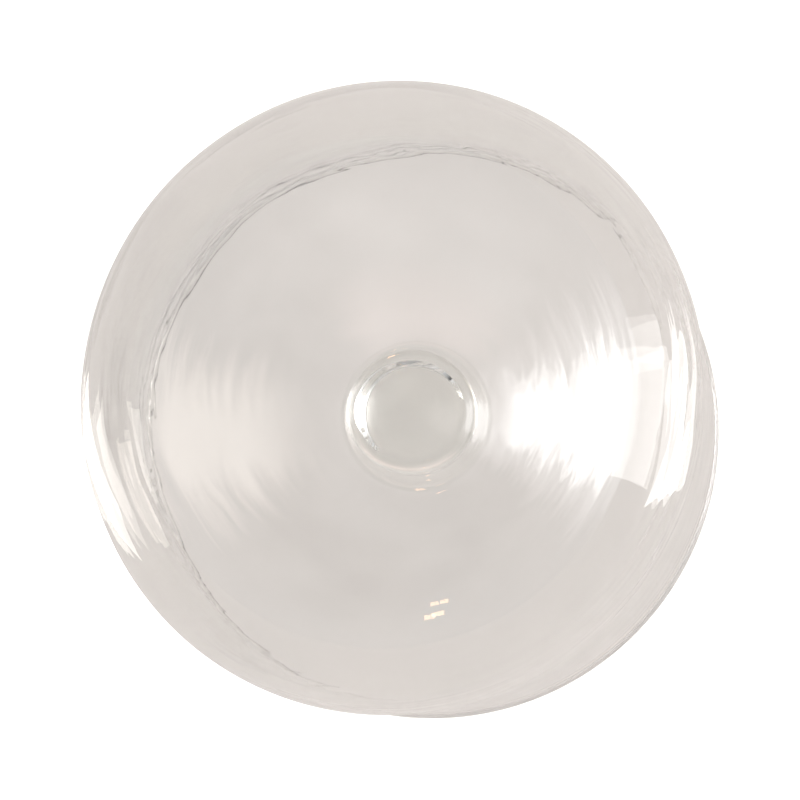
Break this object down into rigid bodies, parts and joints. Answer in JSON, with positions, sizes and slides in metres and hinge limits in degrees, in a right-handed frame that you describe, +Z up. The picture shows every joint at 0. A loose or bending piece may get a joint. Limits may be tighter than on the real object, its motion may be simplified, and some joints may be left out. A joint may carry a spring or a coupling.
{
  "type": "glass garden cloche",
  "caption": "Mouth-blown clear glass bell that covers a plant, with a rolled rim it stands on and a solid glass knob to lift it by.",
  "frame": {"origin": "middle of the rim's footprint, on the surface that the bell stands on", "axes": "+Z up along the bell towards the knob; X and Y level, with the belly leaning towards -X and +Y"},
  "size_m": [0.3017, 0.3025, 0.3038],
  "materials": {
    "blown_glass": "clear, fire-polished, faintly grey, with the ripples of mouth-blown glass",
    "solid_glass": "clear and thick, faintly green-grey, fire-polished"
  },
  "bodies": {
    "root": {"rim_lip": "solid_glass", "bell": "blown_glass", "knob_foot": "solid_glass", "knob_neck": "solid_glass", "knob": "solid_glass"}
  },
  "joints": []
}
